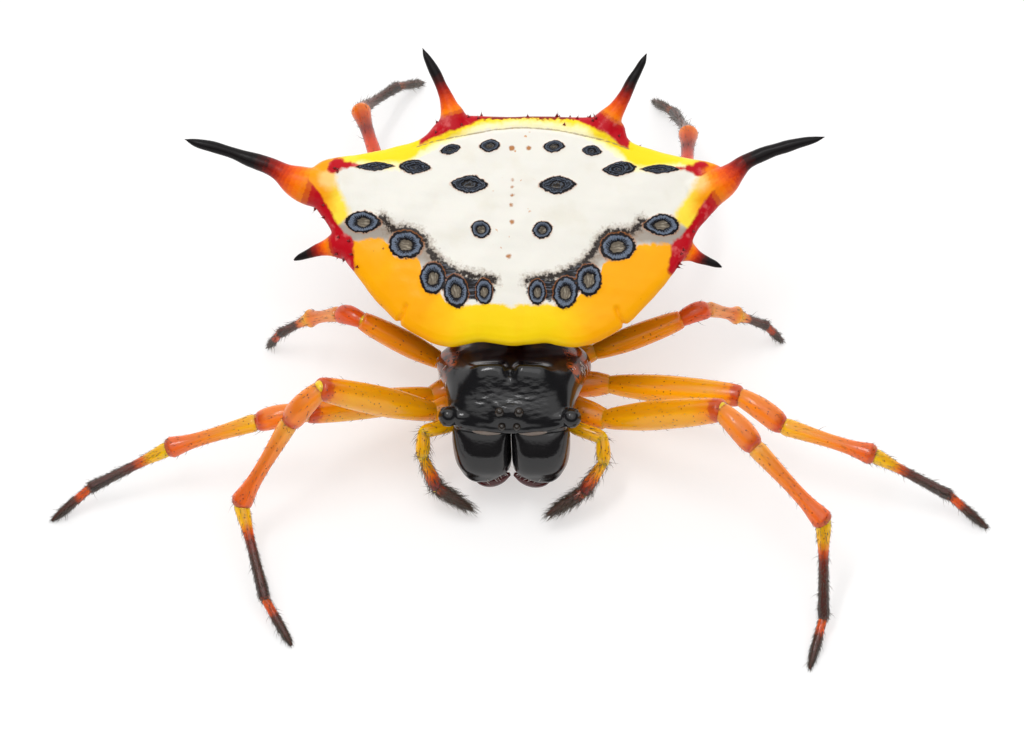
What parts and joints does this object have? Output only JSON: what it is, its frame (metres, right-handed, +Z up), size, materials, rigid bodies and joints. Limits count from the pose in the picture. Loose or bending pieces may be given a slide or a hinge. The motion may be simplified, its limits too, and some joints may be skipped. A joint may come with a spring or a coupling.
{
  "type": "spiny orb weaver",
  "caption": "Life-size spiny orb weaver spider standing wide-legged, with a flat ivory and orange six-spined abdomen raised over a black head.",
  "frame": {"origin": "on the floor, at the centre of the model's bounding box", "axes": "+Z up, the spider looks toward -Y, and +X is the animal's left"},
  "size_m": [0.0267, 0.0197, 0.0074],
  "materials": {
    "abdomen_shell": "glossy horny cuticle: ivory back with orange flanks, crimson spine roots and black spine tips",
    "black_cuticle": "very glossy blue-black cuticle, finely wrinkled",
    "belly_cuticle": "satin dark brown cuticle",
    "fang": "glossy dark red cuticle",
    "leg_cuticle": "glossy golden orange cuticle, banded red and black toward the claws, with fine bristles",
    "eye": "clear domed lens over dark amber"
  },
  "bodies": {
    "root": {"abdomen": "abdomen_shell", "spinnerets": "belly_cuticle", "pedicel": "belly_cuticle", "carapace": "black_cuticle", "sternum": "belly_cuticle", "mouthparts": "belly_cuticle", "chelicera_left": "black_cuticle", "fang_left": "fang", "palp_left": "leg_cuticle", "chelicera_right": "black_cuticle", "fang_right": "fang", "palp_right": "leg_cuticle", "leg_1_left": "leg_cuticle", "leg_1_right": "leg_cuticle", "leg_2_left": "leg_cuticle", "leg_2_right": "leg_cuticle", "leg_3_left": "leg_cuticle", "leg_3_right": "leg_cuticle", "leg_4_left": "leg_cuticle", "leg_4_right": "leg_cuticle", "eye_rear_middle_left": "eye", "eye_rear_middle_right": "eye", "eye_front_middle_left": "eye", "eye_front_middle_right": "eye", "eye_front_side_left": "eye", "eye_front_side_right": "eye", "eye_rear_side_left": "eye", "eye_rear_side_right": "eye"}
  },
  "joints": []
}
